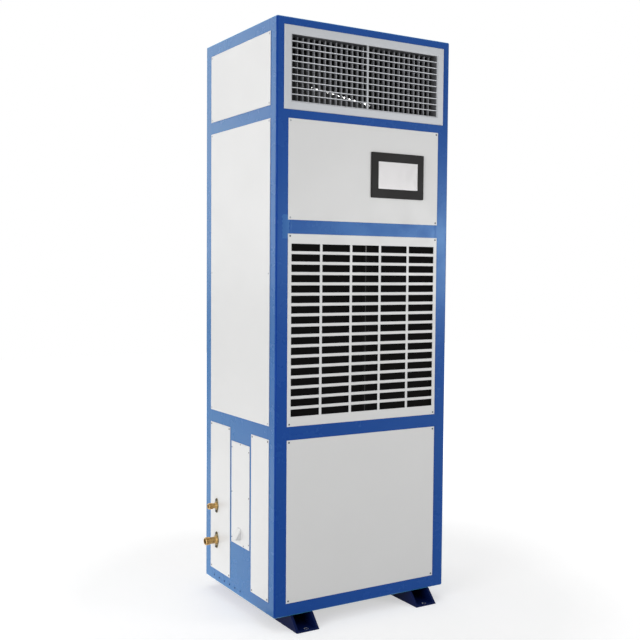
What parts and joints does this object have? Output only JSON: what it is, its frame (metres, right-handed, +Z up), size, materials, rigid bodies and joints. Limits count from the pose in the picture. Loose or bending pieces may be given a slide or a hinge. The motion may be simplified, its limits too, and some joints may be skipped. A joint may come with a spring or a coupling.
{
  "type": "floor-standing precision air conditioner",
  "caption": "Tall framed precision air conditioner with a supply grille, touch screen panel, slotted return panel, side water fittings and channel feet.",
  "frame": {"origin": "on the floor, at the centre of the four floor-bolt holes in the channel feet", "axes": "+Z up, -Y out of the front with the grille and the touch screen, +X to the right as seen from the front"},
  "size_m": [0.6975, 0.586, 1.8675],
  "materials": {
    "frame_blue": "satin blue powder coat",
    "panel_white": "satin off-white powder coat",
    "grille_aluminium": "satin anodised",
    "screen_housing": "fine texture",
    "screen_glass": "smooth touch film over a pale screen",
    "filter_mesh": "black nylon mesh",
    "galvanised_sheet": "galvanised sheet, dark in the shade",
    "fitting_brass": "turned brass",
    "foot_paint": "dark blue paint"
  },
  "bodies": {
    "root": {"front_left_post": "frame_blue", "front_right_post": "frame_blue", "rear_left_post": "frame_blue", "rear_right_post": "frame_blue", "bottom_rails": "frame_blue", "lower_rails": "frame_blue", "control_rail": "frame_blue", "upper_rails": "frame_blue", "top_rails": "frame_blue", "left_backing_plate": "frame_blue", "floor_pan": "galvanised_sheet", "supply_plenum": "galvanised_sheet", "roof_panel": "panel_white", "lower_front_panel": "panel_white", "lower_rear_panel": "panel_white", "middle_rear_panel": "panel_white", "top_rear_panel": "panel_white", "middle_left_panel": "panel_white", "top_left_panel": "panel_white", "lower_right_panel": "panel_white", "middle_right_panel": "panel_white", "top_right_panel": "panel_white", "control_panel": "panel_white", "return_panel": "panel_white", "left_front_strip": "panel_white", "left_centre_strip": "panel_white", "left_rear_strip": "panel_white", "cable_hood": "panel_white", "touch_screen_housing": "screen_housing", "touch_screen_glass": "screen_glass", "left_filter": "filter_mesh", "right_filter": "filter_mesh", "supply_grille_frame": "grille_aluminium", "grille_centre_bar": "grille_aluminium", "grille_front_blades": "grille_aluminium", "grille_rear_blades": "grille_aluminium", "upper_water_fitting": "fitting_brass", "lower_water_fitting": "fitting_brass", "left_foot": "foot_paint", "right_foot": "foot_paint"}
  },
  "joints": []
}
